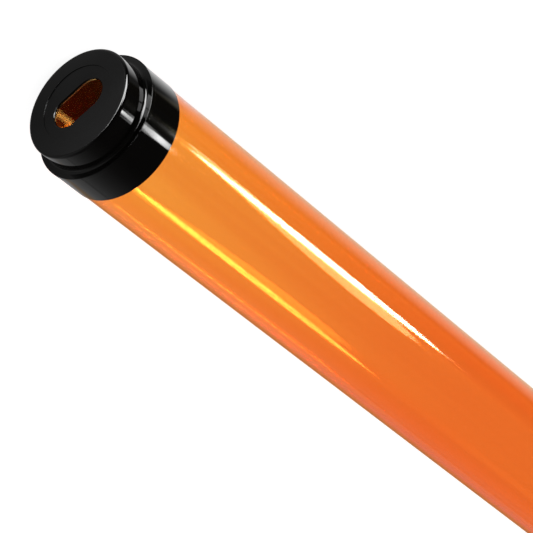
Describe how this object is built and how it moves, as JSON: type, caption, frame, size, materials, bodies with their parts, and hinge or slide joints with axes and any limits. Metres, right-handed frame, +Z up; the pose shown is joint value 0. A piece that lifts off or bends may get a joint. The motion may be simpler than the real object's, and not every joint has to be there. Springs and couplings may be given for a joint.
{
  "type": "fluorescent lamp guard",
  "caption": "Transparent orange plastic tube with a black slotted cap at each end, which slides over a straight two-pin fluorescent lamp to colour and guard it.",
  "frame": {"origin": "middle of the tube, on its axis", "axes": "+X along the tube to the right-hand cap; +Y along the long way of the pin slots; +Z up when the tube lies down"},
  "size_m": [0.5922, 0.0422, 0.0422],
  "materials": {
    "orange_sleeve": "clear, polished",
    "black_cap": "gloss sides, satin end face"
  },
  "bodies": {
    "sleeve": {"sleeve": "orange_sleeve"},
    "left_cap": {"left_end_cap": "black_cap"},
    "right_cap": {"right_end_cap": "black_cap"}
  },
  "joints": [
    {"name": "left_cap_pull", "type": "slide", "parent": "sleeve", "child": "left_cap", "axis": [-1, 0, 0], "range_m": [0, 0.03]},
    {"name": "right_cap_pull", "type": "slide", "parent": "sleeve", "child": "right_cap", "axis": [1, 0, 0], "range_m": [0, 0.03]}
  ]
}
